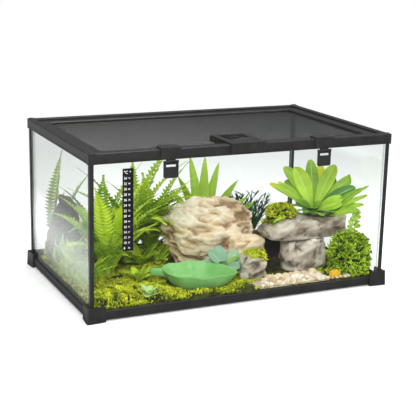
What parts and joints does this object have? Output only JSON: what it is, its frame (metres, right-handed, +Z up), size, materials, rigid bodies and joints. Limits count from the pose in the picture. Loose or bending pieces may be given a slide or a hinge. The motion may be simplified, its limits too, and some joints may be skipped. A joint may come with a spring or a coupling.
{
  "type": "reptile terrarium",
  "caption": "Glass reptile tank with a black frame, corner feet, a hinged mesh lid with latches and a feeding door, and a planted rock habitat inside.",
  "frame": {"origin": "middle of the tank's footprint, on the surface that its four feet stand on", "axes": "+Z up, -Y towards the front glass with the latches, +X to the right seen from the front"},
  "size_m": [0.521, 0.325, 0.2582],
  "materials": {
    "black_plastic": "black moulded plastic with a fine satin grain",
    "glass": "clear float glass with polished edges",
    "silicone": "translucent clear silicone",
    "steel_pin": "plain steel pin",
    "wire_mesh": "fine woven wire, black coated",
    "thermometer": "black film strip with white figures",
    "moss": "yellow-green moss",
    "green_dish": "mid-green moulded resin, satin",
    "sandstone": "cream and tan weathered sandstone",
    "grey_rock": "grey-brown weathered rock",
    "pebbles": "cream, white and tan river pebbles",
    "yellow_stone": "yellow stone",
    "bright_leaves": "bright green plastic leaves",
    "dark_leaves": "dark green grass blades",
    "pale_leaves": "pale grey-green leaves"
  },
  "bodies": {
    "tank": {"foot_front_left": "black_plastic", "foot_front_right": "black_plastic", "foot_back_left": "black_plastic", "foot_back_right": "black_plastic", "base_rail_front": "black_plastic", "base_rail_back": "black_plastic", "base_rail_left": "black_plastic", "base_rail_right": "black_plastic", "glass_floor": "glass", "glass_front": "glass", "glass_back": "glass", "glass_left": "glass", "glass_right": "glass", "silicone_beads": "silicone", "post_front_left": "black_plastic", "post_front_right": "black_plastic", "post_back_left": "black_plastic", "post_back_right": "black_plastic", "top_rail_front": "black_plastic", "top_rail_back": "black_plastic", "top_rail_left": "black_plastic", "top_rail_right": "black_plastic", "corner_cap_front_left": "black_plastic", "corner_cap_front_right": "black_plastic", "corner_cap_back_left": "black_plastic", "corner_cap_back_right": "black_plastic", "lid_hinge_pins": "steel_pin", "thermometer_strip": "thermometer", "soil_bed": "moss", "moss_banks": "moss", "water_dish": "green_dish", "sandstone_rock": "sandstone", "slab_rock": "grey_rock", "cave_rock": "grey_rock", "prop_rock": "grey_rock", "moss_stone": "grey_rock", "grey_boulder": "grey_rock", "river_pebbles": "pebbles", "yellow_stone": "yellow_stone", "moss_bush": "moss", "moss_mound": "moss", "rosette_plant": "bright_leaves", "fern_plants": "bright_leaves", "broad_blade_plant": "bright_leaves", "dark_grass_plant": "dark_leaves", "pale_succulent": "pale_leaves", "sprig_plant": "bright_leaves"},
    "lid": {"lid_bar_front": "black_plastic", "lid_bar_back": "black_plastic", "lid_bar_left": "black_plastic", "lid_bar_right": "black_plastic", "lid_mesh": "wire_mesh", "door_surround": "black_plastic", "door_pin": "steel_pin", "latch_bracket_left": "black_plastic", "latch_bracket_right": "black_plastic", "latch_pins": "steel_pin"},
    "feeding_door": {"feeding_door": "black_plastic"},
    "latch_lever_left": {"latch_lever_left": "black_plastic"},
    "latch_lever_right": {"latch_lever_right": "black_plastic"}
  },
  "joints": [
    {"name": "lid_hinge", "type": "hinge", "parent": "tank", "child": "lid", "pos_m": [0, 0.1395, 0.248], "axis": [-1, 0, 0], "range_deg": [0, 100]},
    {"name": "feeding_door_hinge", "type": "hinge", "parent": "lid", "child": "feeding_door", "pos_m": [-0.002, -0.085, 0.2534], "axis": [-1, 0, 0], "range_deg": [0, 100]},
    {"name": "latch_left_hinge", "type": "hinge", "parent": "lid", "child": "latch_lever_left", "pos_m": [-0.13, -0.1603, 0.2355], "axis": [-1, 0, 0], "range_deg": [0, 130]},
    {"name": "latch_right_hinge", "type": "hinge", "parent": "lid", "child": "latch_lever_right", "pos_m": [0.13, -0.1603, 0.2355], "axis": [-1, 0, 0], "range_deg": [0, 130]}
  ]
}
